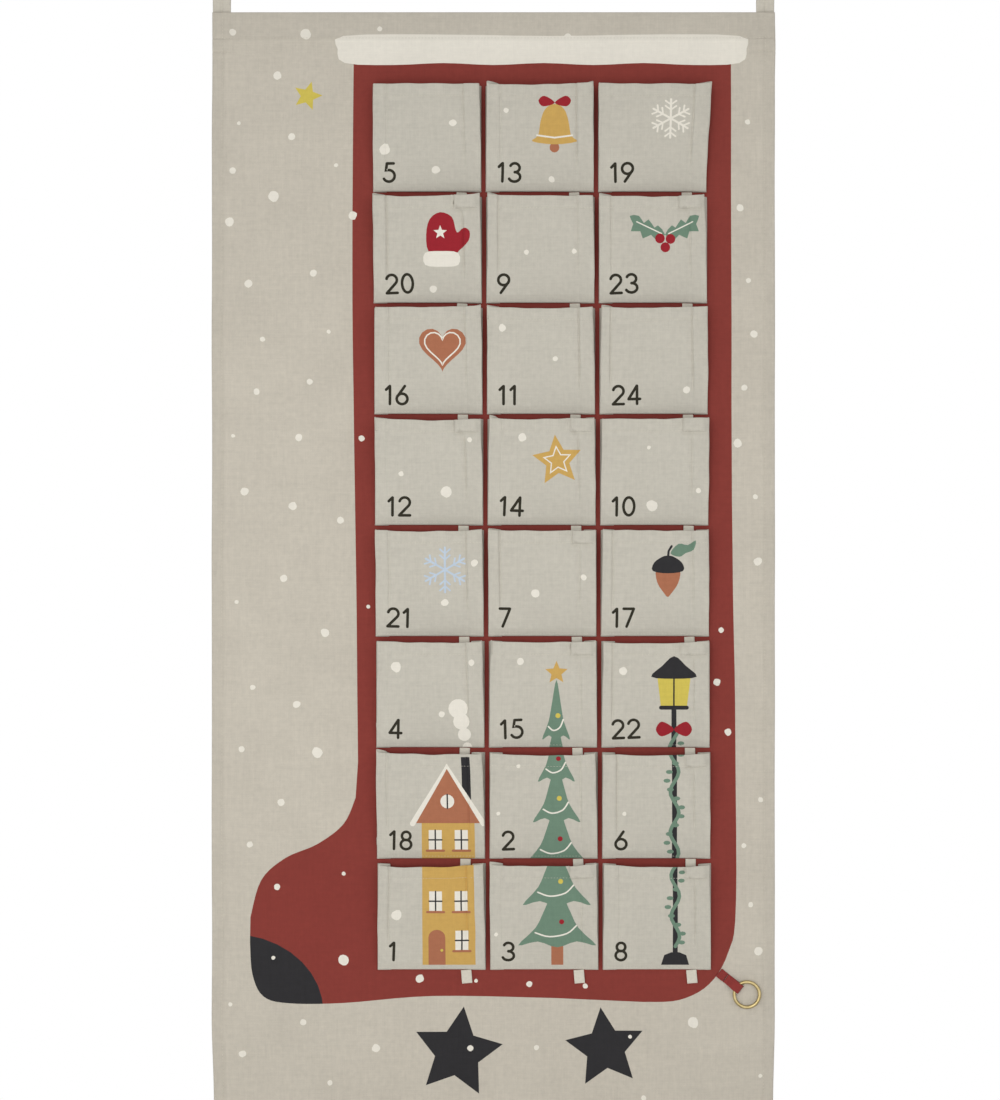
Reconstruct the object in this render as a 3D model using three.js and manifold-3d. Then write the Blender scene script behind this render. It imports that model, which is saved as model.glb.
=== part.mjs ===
// A cloth advent calendar: a hanging panel with 24 pleated pockets, a small tape loop under each
// pocket, two hanging loops at the top corners, and a brass ring on a short strap.
// Millimetres, +Z up, front towards -Y. The origin lies midway between the two hanging loops, at the
// inner top of their folds, on the line of the rod or hooks that carry the calendar.
import * as THREE from "three";
import { mergeVertices } from "three/addons/utils/BufferGeometryUtils.js";
import Module from "manifold-3d";

const wasm = await Module();
wasm.setup();

// Cloth, tape and the clearance that sewn neighbours keep
const panelCloth = 0.9;
const pocketCloth = 0.8;
const tapeThick = 0.6;
const strapThick = 0.9;
const seamGap = 0.3;
const cutOverrun = 1;

// Back panel, measured down from its top edge, with double-folded hems on its back
const panelWidth = 563;
const panelLength = 1124;
const sideHem = 12;
const topHem = 28;
const bottomHem = 24;
const hemFoldRound = 0.8;
const hemLayers = 3;
const hemBack = panelCloth * hemLayers;

// Gentle folds of the hanging panel, all towards the front
const bottomFoldDepth = 7;
const bottomFoldCount = 3;
const bottomFoldStart = 1008;
const marginFoldDepth = 3;
const marginFoldCount = 5;
const marginFoldInset = 18;
const cornerFoldDepth = 5;
const cornerFoldReach = 34;
const panelColumns = 21;
const panelRows = 21;

// Pocket grid: three columns, eight rows, each row sewn a little further right than the one above
const pocketNumbers = [
  [5, 13, 19],
  [20, 9, 23],
  [16, 11, 24],
  [12, 14, 10],
  [21, 7, 17],
  [4, 15, 22],
  [18, 2, 6],
  [1, 3, 8],
];
const columnPitch = 112.5;
const rowPitch = 111;
const leftMargin = 160.7;
const firstSeamDrop = 180;
const rowDrift = 0.65;

// One pocket: its width and height, the pleat at each side, and how far it stands open
const pocketWidth = 109;
const pocketHeight = 106;
const pleatCloth = 14.8;
const mouthDepth = 15;
const seamDepth = 3;
const seamHeight = 2.5;
const pocketHem = 13;
const hemTaper = 0.5;
const mouthBow = 1.5;
const mouthSag = 2.5;
const frontSteps = 6;
const openingShares = [
  [0, 0],
  [0.12, 0.24],
  [0.5, 0.64],
  [1, 1],
];

// Tape loop under each pocket
const tapeWidth = 10.2;
const tapeReach = 13.1;
const tapeOffset = 34.5;
const tapeSlit = 1.6;
const tapeSewn = 2.4;

// Hanging loops at the top corners
const strapWidth = 18;
const strapInset = 0.4;
const strapTail = 42;
const loopRise = 45;
const loopBore = 7;
const crownFacets = 9;

// Ring strap and brass ring at the lower right, the strap sewn on at a slant
const ringStrapWidth = 9.6;
const ringStrapReach = 18.5;
const ringStrapInset = 49;
const ringStrapDrop = 966;
const ringStrapSlant = (38 * Math.PI) / 180;
const ringStrapSewn = 2.6;
const ringTabLength = 8.5;
const ringTabLayers = 3;
const ringRadius = 12.6;
const wireRadius = 1.7;
const wireSteps = 28;
const wireSides = 8;
const ringSeat = 5;
const ringPlay = 1.64;

const bendSteps = 4;
const hookDepth = hemBack + seamGap + strapThick;
const tapeAxis = seamGap + tapeThick;

const panelMaterial = new THREE.MeshStandardMaterial({
  color: new THREE.Color(0xc7c0b2),
  roughness: 0.95,
  metalness: 0,
});
const pocketMaterial = new THREE.MeshStandardMaterial({
  color: new THREE.Color(0xc3beb4),
  roughness: 0.95,
  metalness: 0,
});
const tapeMaterial = new THREE.MeshStandardMaterial({
  color: new THREE.Color(0xc5bfb0),
  roughness: 0.9,
  metalness: 0,
});
const redTapeMaterial = new THREE.MeshStandardMaterial({
  color: new THREE.Color(0x8a3a34),
  roughness: 0.9,
  metalness: 0,
});
const brassMaterial = new THREE.MeshStandardMaterial({
  color: new THREE.Color(0xc8a24a),
  roughness: 0.25,
  metalness: 1,
});

// A closed geometry with shared corners merged, as a solid that can be cut
function solidOf(geometry) {
  const bare = geometry.clone();
  bare.deleteAttribute("normal");
  bare.deleteAttribute("uv");
  const merged = mergeVertices(bare);
  return new wasm.Manifold(
    new wasm.Mesh({
      numProp: 3,
      vertProperties: merged.attributes.position.array,
      triVerts: new Uint32Array(merged.index.array),
    }),
  );
}

function geometryOf(solid) {
  const mesh = solid.getMesh();
  return withTriangles(Array.from(mesh.vertProperties), Array.from(mesh.triVerts));
}

function withTriangles(positions, index) {
  const geometry = new THREE.BufferGeometry();
  geometry.setAttribute("position", new THREE.Float32BufferAttribute(positions, 3));
  geometry.setIndex(index);
  geometry.computeVertexNormals();
  return geometry;
}

// A solid through a stack of rings, each ring counter-clockwise from above and the lowest first
function loft(rings) {
  const count = rings[0].length;
  const positions = rings.flat().flatMap((p) => [p.x, p.y, p.z]);
  const index = [];
  for (let k = 0; k + 1 < rings.length; k++) {
    for (let i = 0; i < count; i++) {
      const next = (i + 1) % count;
      const [a, b, c, d] = [i, next, count + next, count + i].map((n) => k * count + n);
      index.push(a, b, c, a, c, d);
    }
  }
  const last = (rings.length - 1) * count;
  for (const [a, b, c] of THREE.ShapeUtils.triangulateShape(rings[0], [])) index.push(a, c, b);
  for (const [a, b, c] of THREE.ShapeUtils.triangulateShape(rings.at(-1), [])) {
    index.push(last + a, last + b, last + c);
  }
  return withTriangles(positions, index);
}

// Points of an arc, for an outline that needs a flat facet at the middle of its bend
function arc(x, y, radius, from, to, steps) {
  const points = [];
  for (let i = 0; i <= steps; i++) {
    const angle = from + ((to - from) * i) / steps;
    points.push(new THREE.Vector2(x + radius * Math.cos(angle), y + radius * Math.sin(angle)));
  }
  return points;
}

function bend(from, control, to, steps) {
  return new THREE.QuadraticBezierCurve(from, control, to).getPoints(steps);
}

// An outline of down-and-back points, drawn out sideways to the width of a tape
function tapeSolid(outline, width, hole) {
  const turned = THREE.ShapeUtils.isClockWise(outline) ? outline.toReversed() : outline;
  const shape = new THREE.Shape(turned);
  if (hole) shape.holes.push(new THREE.Path(hole));
  const geometry = new THREE.ExtrudeGeometry(shape, { depth: width, bevelEnabled: false });
  geometry.translate(0, 0, -width / 2);
  geometry.rotateY(Math.PI / 2);
  return geometry;
}

// Back panel: one sheet whose back steps out over the hems and whose free cloth folds gently
function smooth(value) {
  const t = THREE.MathUtils.clamp(value, 0, 1);
  return t * t * (3 - 2 * t);
}

const gridLeft = leftMargin - panelWidth / 2;
const firstColumn = gridLeft + pocketWidth / 2;

function wave(turns) {
  return (1 - Math.cos(2 * Math.PI * turns)) / 2;
}

function panelFold(x, drop) {
  const low = smooth((drop - bottomFoldStart) / (panelLength - bottomFoldStart));
  const bottom = bottomFoldDepth * low * wave((bottomFoldCount * (x + panelWidth / 2)) / panelWidth);
  const reach = gridLeft - marginFoldInset + panelWidth / 2;
  const left = smooth((gridLeft - marginFoldInset - x) / reach);
  const free = smooth((drop - topHem) / rowPitch) * (1 - low);
  const margin = marginFoldDepth * left * free * wave((marginFoldCount * drop) / panelLength);
  const fromCorner = Math.hypot(panelWidth / 2 - x, drop - 1.3 * topHem);
  const corner = cornerFoldDepth * smooth(1 - fromCorner / cornerFoldReach);
  return bottom + margin + corner;
}

function spread(from, to, steps) {
  return Array.from({ length: steps + 1 }, (_, i) => from + ((to - from) * i) / steps);
}

function panelGeometry() {
  const half = panelWidth / 2;
  const inner = half - sideHem - hemFoldRound;
  const xs = [-half, -half + sideHem, ...spread(-inner, inner, panelColumns), half - sideHem, half];
  const topInner = topHem + hemFoldRound;
  const bottomInner = panelLength - bottomHem - hemFoldRound;
  const drops = [0, topHem, ...spread(topInner, bottomFoldStart, panelRows - 4)];
  drops.push(...spread(bottomFoldStart, bottomInner, 3).slice(1), panelLength - bottomHem, panelLength);
  const inHem = (x, drop) =>
    Math.abs(x) >= half - sideHem || drop <= topHem || drop >= panelLength - bottomHem;
  const at = (x, drop, behind) => [x, behind - panelFold(x, drop), -drop];
  const positions = [];
  for (const drop of drops) for (const x of xs) positions.push(...at(x, drop, 0));
  for (const drop of drops) {
    for (const x of xs) positions.push(...at(x, drop, inHem(x, drop) ? hemBack : panelCloth));
  }
  const index = [];
  const across = xs.length;
  const sheet = across * drops.length;
  const quad = (a, b, c, d) => index.push(a, b, c, a, c, d);
  for (let r = 0; r + 1 < drops.length; r++) {
    for (let c = 0; c + 1 < across; c++) {
      const [a, b, e, f] = [r * across + c, r * across + c + 1, (r + 1) * across + c + 1, (r + 1) * across + c];
      quad(a, f, e, b);
      quad(sheet + a, sheet + b, sheet + e, sheet + f);
    }
    const [left, right] = [r * across, (r + 1) * across - 1];
    quad(left, sheet + left, sheet + left + across, left + across);
    quad(right, right + across, sheet + right + across, sheet + right);
  }
  const base = across * (drops.length - 1);
  for (let c = 0; c + 1 < across; c++) {
    quad(c, c + 1, sheet + c + 1, sheet + c);
    quad(base + c, sheet + base + c, sheet + base + c + 1, base + c + 1);
  }
  return withTriangles(positions, index);
}

// Pocket: a pleated bag without a back, its front standing further from the panel towards the mouth
function openDepth(height) {
  const share = height / pocketHeight;
  const k = Math.max(1, openingShares.findIndex(([at]) => at >= share));
  const upper = share > 1 ? openingShares.length - 1 : k;
  const [[h0, d0], [h1, d1]] = [openingShares[upper - 1], openingShares[upper]];
  const opened = d0 + ((d1 - d0) * (share - h0)) / (h1 - h0);
  return seamDepth + (mouthDepth - seamDepth) * opened;
}

function frontPoint(x, depth, height) {
  const across = 1 - ((2 * x) / pocketWidth) ** 2;
  const share = height / pocketHeight;
  return new THREE.Vector3(x, -depth - mouthBow * share * across, height - mouthSag * share ** 8 * across);
}

// The pleat folds in by what its cloth leaves once it spans half the pocket's depth
function pleatInset(depth) {
  return Math.sqrt(pleatCloth ** 2 - (depth / 2) ** 2);
}

function pocketRing(height) {
  const depth = openDepth(height);
  const half = pocketWidth / 2;
  const fold = half - pleatInset(depth);
  const side = [new THREE.Vector3(half, 0, height), new THREE.Vector3(fold, -depth / 2, height)];
  const front = spread(-half, half, frontSteps).map((x) => frontPoint(x, depth, height));
  return closedRing(side, front);
}

function cavityRing(height, frontCloth) {
  const depth = openDepth(height);
  const inset = pleatInset(depth);
  const slope = Math.atan2(depth / 2, inset);
  const half = pocketWidth / 2;
  const back = half - pocketCloth / Math.sin(slope);
  const fold = half - inset - pocketCloth / Math.sin(slope);
  const corner = half - (frontCloth * Math.cos(slope) + pocketCloth) / Math.sin(slope);
  const side = [
    new THREE.Vector3(back, cutOverrun, height),
    new THREE.Vector3(back, 0, height),
    new THREE.Vector3(fold, -depth / 2, height),
  ];
  const front = spread(-corner, corner, frontSteps).map((x) => frontPoint(x, depth - frontCloth, height));
  for (const p of front) p.z = height;
  return closedRing(side, front);
}

function closedRing(side, front) {
  const left = side.map((p) => new THREE.Vector3(-p.x, p.y, p.z));
  return [...left, ...front, ...side.reverse()];
}

function pocketGeometry() {
  const bag = loft(openingShares.map(([share]) => pocketRing(share * pocketHeight)));
  const hemStart = pocketHeight - mouthSag - pocketHem;
  const heights = openingShares.slice(1, -1).map(([share]) => share * pocketHeight);
  const cavity = loft([
    cavityRing(seamHeight, pocketCloth),
    ...heights.map((height) => cavityRing(height, pocketCloth)),
    cavityRing(hemStart - hemTaper, pocketCloth),
    cavityRing(hemStart, 2 * pocketCloth),
    cavityRing(pocketHeight + cutOverrun, 2 * pocketCloth),
  ]);
  return geometryOf(solidOf(bag).subtract(solidOf(cavity)));
}

// Tape loop: a folded tape whose sewn end is a bead on its hinge line, its front layer bowed out
function foldedTape(reach, sewn, slit, width) {
  const turn = (2 * tapeThick + slit) / 2;
  const end = reach - turn;
  const middle = tapeThick - turn;
  const v = (x, y) => new THREE.Vector2(x, y);
  const outline = [
    ...arc(end, middle, turn, Math.PI / 2, -Math.PI / 2, 2 * bendSteps),
    ...bend(v(end, -tapeThick - slit), v((end + sewn) / 2, -tapeThick - slit), v(sewn, -tapeThick), bendSteps).slice(1),
    ...arc(0, 0, tapeThick, -Math.PI / 2, -1.5 * Math.PI, bendSteps),
  ];
  const hole = [
    ...arc(end, middle, turn - tapeThick, Math.PI / 2, -Math.PI / 2, 2 * bendSteps),
    ...bend(v(end, -slit), v((end + sewn) / 2, -slit), v(sewn, 0), bendSteps).slice(1),
  ];
  return tapeSolid(outline, width, hole);
}

// Hanging loop: a strap folded over, its two ends sewn flat behind the panel's top hem
function hangingLoopGeometry() {
  const v = (x, y) => new THREE.Vector2(x, y);
  const crown = -(loopRise - loopBore);
  const facetShare = 1 / Math.cos(Math.PI / (2 * crownFacets));
  const side = (half, start, radius) =>
    bend(v(start, half), v(start + crown / 2, half), v(crown, radius), bendSteps);
  const round = (radius) => arc(crown, 0, radius * facetShare, Math.PI / 2, 1.5 * Math.PI, crownFacets);
  const mirrored = (points) => points.map((p) => v(p.x, -p.y)).reverse();
  const legs = (half, start, radius) => {
    const leg = side(half, start, radius).slice(0, -1);
    return [...leg, ...round(radius), ...mirrored(leg)];
  };
  const outline = [
    v(strapTail, strapThick),
    ...legs(strapThick, 0, loopBore + strapThick),
    v(strapTail, -strapThick),
  ];
  const hole = legs(0, -strapThick, loopBore).slice(0, -1);
  return tapeSolid(outline, strapWidth, hole);
}

// Stitched end of the ring strap: the tape turned under itself, flat on the panel
function ringTabGeometry() {
  const thick = ringTabLayers * tapeThick;
  const outline = [
    ...arc(-thick / 2, 0, thick / 2, Math.PI / 2, -Math.PI / 2, bendSteps),
    ...arc(thick / 2 - ringTabLength, 0, thick / 2, -Math.PI / 2, -1.5 * Math.PI, bendSteps),
  ];
  return tapeSolid(outline, ringStrapWidth);
}

function piece(name, geometry, material, x, y, z) {
  const mesh = new THREE.Mesh(geometry, material);
  mesh.name = name;
  mesh.position.set(x, y, z);
  return mesh;
}

// The calendar, built on the panel's front face and top edge, then hung from the hook line
const cloth = new THREE.Group();
cloth.position.set(0, -hookDepth, -loopRise);
cloth.add(piece("back_panel", panelGeometry(), panelMaterial, 0, 0, 0));

const pocket = pocketGeometry();
const tapeLoop = foldedTape(tapeReach, tapeSewn, tapeSlit, tapeWidth);
pocketNumbers.forEach((numbers, row) => {
  numbers.forEach((number, column) => {
    const day = String(number).padStart(2, "0");
    const x = firstColumn + column * columnPitch + row * rowDrift;
    const seam = -(firstSeamDrop + row * rowPitch);
    cloth.add(piece(`pocket_${day}`, pocket, pocketMaterial, x, -seamGap, seam));
    const loopX = x + tapeOffset;
    cloth.add(piece(`pocket_loop_${day}`, tapeLoop, tapeMaterial, loopX, -tapeAxis, seam - tapeAxis));
  });
});

const hangingLoop = hangingLoopGeometry();
const loopX = panelWidth / 2 - strapInset - strapWidth / 2;
cloth.add(piece("hanging_loop_left", hangingLoop, panelMaterial, -loopX, hookDepth, 0));
cloth.add(piece("hanging_loop_right", hangingLoop, panelMaterial, loopX, hookDepth, 0));

// Ring strap, turned in the panel's plane so that its own downward direction follows the slant
const ringSide = new THREE.Group();
ringSide.position.set(panelWidth / 2 - ringStrapInset, -tapeAxis, -ringStrapDrop);
ringSide.rotation.y = ringStrapSlant - Math.PI / 2;
const wireLift = seamGap + wireRadius;
const eyeSlit = 2 * wireRadius + ringPlay;
const strap = foldedTape(ringStrapReach, ringStrapSewn, eyeSlit, ringStrapWidth);
ringSide.add(piece("ring_strap", strap, redTapeMaterial, 0, 0, 0));
const tabBack = tapeThick - (ringTabLayers * tapeThick) / 2;
const tabStart = tapeThick + seamGap;
ringSide.add(piece("ring_tab", ringTabGeometry(), redTapeMaterial, 0, tabBack, tabStart));
const ring = new THREE.TorusGeometry(ringRadius, wireRadius, wireSides, wireSteps);
ring.rotateX(Math.PI / 2);
const ringDown = ringStrapReach - ringSeat + ringRadius;
ringSide.add(piece("brass_ring", ring, brassMaterial, 0, -wireLift, -ringDown));
cloth.add(ringSide);

const calendar = new THREE.Group();
calendar.add(cloth);
export default calendar;
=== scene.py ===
import math
import random
import bmesh
import bpy
from mathutils import Matrix, Vector, noise


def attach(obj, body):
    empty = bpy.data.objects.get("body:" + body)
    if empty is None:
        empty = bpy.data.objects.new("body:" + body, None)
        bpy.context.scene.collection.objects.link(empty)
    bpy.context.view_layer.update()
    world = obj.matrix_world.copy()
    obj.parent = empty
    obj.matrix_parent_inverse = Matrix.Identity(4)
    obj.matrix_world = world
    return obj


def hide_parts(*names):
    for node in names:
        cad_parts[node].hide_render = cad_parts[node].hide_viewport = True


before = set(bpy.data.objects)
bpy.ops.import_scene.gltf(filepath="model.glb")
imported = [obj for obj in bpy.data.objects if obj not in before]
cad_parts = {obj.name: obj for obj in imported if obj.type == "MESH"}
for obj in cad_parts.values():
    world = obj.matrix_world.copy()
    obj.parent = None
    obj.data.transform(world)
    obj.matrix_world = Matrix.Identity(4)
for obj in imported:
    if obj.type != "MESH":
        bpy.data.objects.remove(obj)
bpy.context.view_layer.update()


# Camera and studio. The calendar is photographed from 2.3 m straight in front of it, on white, in soft
# light from both sides and from a low window in front. A pale floor lies under it.
panel_front, camera_distance, height_in_view = -0.0039, 2.3, 1.1
camera_lens = bpy.data.cameras.new("camera")
camera_lens.sensor_fit = "VERTICAL"
camera_lens.sensor_height = 36
camera_lens.lens = camera_lens.sensor_height * camera_distance / height_in_view
camera = bpy.data.objects.new("camera", camera_lens)
camera.location = (0.0065, panel_front - camera_distance, -0.583)
camera.rotation_euler = (math.radians(90), 0, 0)
bpy.context.collection.objects.link(camera)
bpy.context.scene.camera = camera
bpy.context.scene.view_settings.view_transform = "Standard"


def lamp_on_stand(name, kind, strength, shining, place=(0, 0, 0)):
    """A lamp at its place, turned the way that it shines."""
    lamp = bpy.data.lights.new(name, kind)
    lamp.energy = strength
    stand = bpy.data.objects.new(name, lamp)
    stand.location = place
    stand.rotation_euler = Vector(shining).to_track_quat("-Z", "Y").to_euler()
    bpy.context.collection.objects.link(stand)
    return lamp, stand


for name, strength, spread, shining in (
    ("softbox_left", 0.62, 50, (0.55, 1, -0.16)),
    ("softbox_right", 0.58, 50, (-0.5, 1, -0.12)),
    ("softbox_front", 0.14, 30, (0, 1, -0.18)),
    ("softbox_behind_left", 0.95, 60, (0.6, -1, -0.5)),
    ("softbox_behind_right", 0.72, 60, (-0.7, -1, -0.4)),
):
    lamp_on_stand(name, "SUN", strength, shining)[0].angle = math.radians(spread)
window, window_stand = lamp_on_stand("window_light", "AREA", 5.7, (0.14, 1.5, 0.1), (-0.16, -1.5, -0.85))
window.shape, window.size, window.size_y = "RECTANGLE", 0.7, 0.6
window_stand.visible_camera = False


def wire(tree, kind, *sources, sockets=None, output=0, **settings):
    """A node whose first inputs, in order, are joined to other nodes or set to plain values."""
    made = tree.nodes.new(kind)
    for name, value in settings.items():
        setattr(made, name, value)
    wanted = [*zip(made.inputs, sources), *((made.inputs[n], v) for n, v in (sockets or {}).items())]
    for socket, source in wanted:
        if isinstance(source, bpy.types.NodeSocket):
            tree.links.new(source, socket)
        elif source is not None:
            socket.default_value = source
    return made.outputs[output] if made.outputs else made


def seen_directly(tree):
    """1 where the camera, a reflection or a see-through ray meets the surface, and 0 for its light."""
    path = tree.nodes.new("ShaderNodeLightPath").outputs
    either = wire(tree, "ShaderNodeMath", path["Is Camera Ray"], path["Is Glossy Ray"], operation="MAXIMUM")
    return wire(tree, "ShaderNodeMath", either, path["Is Transmission Ray"], operation="MAXIMUM")


world = bpy.data.worlds.new("white_studio")
bpy.context.scene.world = world
world.use_nodes = True
air = world.node_tree
air.nodes.clear()
room = wire(air, "ShaderNodeBackground", (1, 1, 1, 1), 0.34)
backdrop = wire(air, "ShaderNodeBackground", (1, 1, 1, 1), 1.0)
wire(air, "ShaderNodeOutputWorld", wire(air, "ShaderNodeMixShader", seen_directly(air), room, backdrop))


def finished(shape, name, *materials):
    """A shape made into an object at the origin, with its materials, its faces shaded smooth."""
    for face in shape.faces:
        face.smooth = True
    mesh = bpy.data.meshes.new(name)
    shape.to_mesh(mesh)
    shape.free()
    for material in materials:
        mesh.materials.append(material)
    made = bpy.data.objects.new(name, mesh)
    bpy.context.collection.objects.link(made)
    return made


def plain_material(name):
    """A new material, its nodes, and the shader among them."""
    made = bpy.data.materials.new(name)
    made.use_nodes = True
    return made, made.node_tree, made.node_tree.nodes["Principled BSDF"]


floor_height, floor_reach = -1.215, 3.0
floor_paint, floor_nodes, floor_shader = plain_material("floor_paint")
floor_shader.inputs["Base Color"].default_value = (0.86, 0.86, 0.85, 1)
floor_shader.inputs["Roughness"].default_value = 0.9
floor_far = floor_nodes.nodes.new("ShaderNodeTexCoord").outputs["Object"]
floor_far = wire(floor_nodes, "ShaderNodeVectorMath", floor_far, (1.4, 3.0, 0), operation="MULTIPLY")
floor_far = wire(floor_nodes, "ShaderNodeVectorMath", floor_far, operation="LENGTH", output=1)
floor_fade = wire(floor_nodes, "ShaderNodeMapRange", floor_far, 0.45, 1.0, 0.0, 1.0)
floor_fade = wire(floor_nodes, "ShaderNodeMath", floor_fade, seen_directly(floor_nodes), operation="MULTIPLY")
floor_white = wire(floor_nodes, "ShaderNodeEmission", (1, 1, 1, 1), 1.0)
floor_mix = wire(floor_nodes, "ShaderNodeMixShader", floor_fade, floor_shader.outputs[0], floor_white)
floor_nodes.links.new(floor_mix, floor_nodes.nodes["Material Output"].inputs["Surface"])
floor_shape = bmesh.new()
floor_place = Matrix.Translation((0, 0, floor_height))
bmesh.ops.create_circle(floor_shape, cap_ends=True, segments=96, radius=floor_reach, matrix=floor_place)
finished(floor_shape, "floor", floor_paint)


# Back panel: one sheet of natural linen, hung by its two top corners. Its hems are turned to the back
# all round, raw edge tucked under, and sewn down. Its face is printed before the pockets go on.
loop_rise = 0.045
hang_height = Vector((0, panel_front, -loop_rise))
panel_width, panel_length, panel_cloth = 0.563, 1.124, 0.0008
hem_sides, hem_top, hem_bottom = 0.012, 0.028, 0.024
edge_round, hem_tuck = 0.00135, 0.0008
column_pitch, row_pitch, row_drift = 0.1125, 0.111, 0.00065
first_column, first_seam = -0.0663, 0.180
strap_from_edge, strap_width, strap_tail, strap_rows = 0.0094, 0.018, 0.042, (0.0262, 0.040)
bottom_folds, bottom_fold_depth, bottom_folds_from = 3, 0.007, 1.008
margin_folds, margin_fold_depth = 5, 0.003
corner_fold_depth, corner_fold_reach = 0.005, 0.034
hem_shows, strap_shows, stitches_pull_in = 0.00028, 0.0006, 0.00085
ripple_depth, small_ripple_depth, drawn_in_low, edge_wander = 0.0011, 0.0004, 0.0065, 0.0015
pocket_width, pocket_height = 0.109, 0.106
half_panel, half_pocket = panel_width / 2, pocket_width / 2
strap_side = half_panel - strap_from_edge - strap_width / 2
days = [[5, 13, 19], [20, 9, 23], [16, 11, 24], [12, 14, 10], [21, 7, 17], [4, 15, 22], [18, 2, 6], [1, 3, 8]]


def pocket_seat(row, column):
    """Middle of a pocket's bottom seam, from the panel's top edge: how far right, and how far up."""
    return first_column + column * column_pitch + row * row_drift, -(first_seam + row * row_pitch)


def each_pocket():
    """Each pocket's day, row and seat, row by row from the top."""
    for row, numbers in enumerate(days):
        for column, day in enumerate(numbers):
            yield (day, row, *pocket_seat(row, column))


def linear(red, green, blue):
    """A colour read from 0 to 255, as the amount of light that the shader works with."""
    return [*(((c / 255 + 0.055) / 1.055) ** 2.4 for c in (red, green, blue)), 1.0]


def woven_pattern(name, pitch):
    """A node group for a woven cloth: its tree, its inputs, and a short way to write its sums."""
    tree = bpy.data.node_groups.new(name, "ShaderNodeTree")
    given = (("Cloth", "Vector"), ("Colour", "Color"), (pitch, "Float"), ("Unevenness", "Float"))
    for way, sockets in (("INPUT", given), ("OUTPUT", (("Colour", "Color"), ("Height", "Float")))):
        for socket, kind in sockets:
            tree.interface.new_socket(socket, in_out=way, socket_type="NodeSocket" + kind)
    number = lambda how, *sources: wire(tree, "ShaderNodeMath", *sources, operation=how)
    return tree, tree.nodes.new("NodeGroupInput").outputs, number


def scaled(tree, vector, by):
    """A colour or a place, with all of its parts made larger or smaller."""
    return wire(tree, "ShaderNodeVectorMath", vector, sockets={"Scale": by}, operation="SCALE")


def finish_pattern(tree, given, number, tone, height):
    """The cloth's colour, lighter and darker by its tone, and how high its yarns stand."""
    share = number("MULTIPLY_ADD", tone, given["Unevenness"], 1.0)
    wire(tree, "NodeGroupOutput", scaled(tree, given["Colour"], share), height)
    return tree


def plain_weave():
    """Linen in plain weave: yarns over and under each other, slubs along them, soft mottling, and painted
    shade in the hollows between the yarns.
    """
    weave, given, number = woven_pattern("plain_weave", "Yarn")
    counted = scaled(weave, given["Cloth"], number("DIVIDE", math.pi, given["Yarn"]))
    split = wire(weave, "ShaderNodeSeparateXYZ", counted).node.outputs
    warp, weft = number("SINE", split[0]), number("SINE", split[1])
    warp_on_top = number("GREATER_THAN", number("MULTIPLY", warp, weft), 0.0)
    weft_on_top = number("SUBTRACT", 1.0, warp_on_top)
    both = lambda a, b: number("MULTIPLY_ADD", a, warp_on_top, number("MULTIPLY", b, weft_on_top))
    rounded_yarn = both(number("ABSOLUTE", warp), number("ABSOLUTE", weft))

    def patches(stretch, size, detail):
        along = wire(weave, "ShaderNodeVectorMath", given["Cloth"], stretch, operation="MULTIPLY")
        seen = {"Scale": size, "Detail": detail, "Roughness": 0.55}
        return number("SUBTRACT", wire(weave, "ShaderNodeTexNoise", along, sockets=seen), 0.5)

    slub = both(patches((1, 0.035, 1), 1250, 1), patches((0.035, 1, 1), 1250, 1))
    streak = number("ADD", patches((1, 0.05, 1), 230, 1), patches((0.05, 1, 1), 230, 1))
    mottle, cloud = patches((1, 1, 1), 190, 2), patches((1, 1, 1), 18, 2)
    tone = number("MULTIPLY_ADD", mottle, 0.55, number("MULTIPLY", cloud, 0.38))
    tone = number("MULTIPLY_ADD", slub, 0.75, number("MULTIPLY_ADD", streak, 0.2, tone))
    # Painted shade: the tone is lighter on the yarns' crowns and darker in the hollows between them.
    tone = number("MULTIPLY_ADD", number("SUBTRACT", rounded_yarn, 0.6), 0.35, tone)
    return finish_pattern(weave, given, number, tone, number("MULTIPLY_ADD", slub, 1.1, rounded_yarn))


weave_group = plain_weave()
# Painted shade: the share of its colour that the panel's face keeps over its hems, where less light comes
# through the doubled cloth.
painted_hem_shade_factor = 0.955


def cloth_of(weave, name, colour, woven, roughness, sheen, mapped=True):
    """A cloth that is soft and matt, raised very slightly yarn by yarn, with painted shade over its hems,
    where less light comes through the cloth lying double.
    """
    cloth, tree, shader = plain_material(name)
    shader.inputs["Roughness"].default_value = roughness
    shader.inputs["Specular IOR Level"].default_value = 0.22
    shader.inputs["Sheen Weight"].default_value = sheen
    shader.inputs["Sheen Roughness"].default_value = 0.5
    if mapped:
        lies = wire(tree, "ShaderNodeUVMap", uv_map="cloth")
    else:
        lies = tree.nodes.new("ShaderNodeTexCoord").outputs["Object"]
    group = tree.nodes.new("ShaderNodeGroup")
    group.node_tree = weave
    tree.links.new(lies, group.inputs["Cloth"])
    for socket, value in {"Colour": linear(*colour), **woven}.items():
        group.inputs[socket].default_value = value
    # Painted shade over the hems, read from the mesh: 1 there, 0 elsewhere.
    painted_hem_shade = wire(tree, "ShaderNodeAttribute", output=2, attribute_name="painted_hem_shade")
    dim = wire(tree, "ShaderNodeMapRange", painted_hem_shade, 0.0, 1.0, 1.0, painted_hem_shade_factor)
    tree.links.new(scaled(tree, group.outputs["Colour"], dim), shader.inputs["Base Color"])
    raised = {"Strength": 0.35, "Distance": 0.0002, "Height": group.outputs["Height"]}
    tree.links.new(wire(tree, "ShaderNodeBump", sockets=raised), shader.inputs["Normal"])
    return cloth


def linen(name, colour, yarn=0.00075, unevenness=0.34):
    """Linen in plain weave, bare or printed."""
    woven = {"Yarn": yarn, "Unevenness": unevenness}
    return cloth_of(weave_group, name, colour, woven, roughness=0.92, sheen=0.08)


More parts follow.
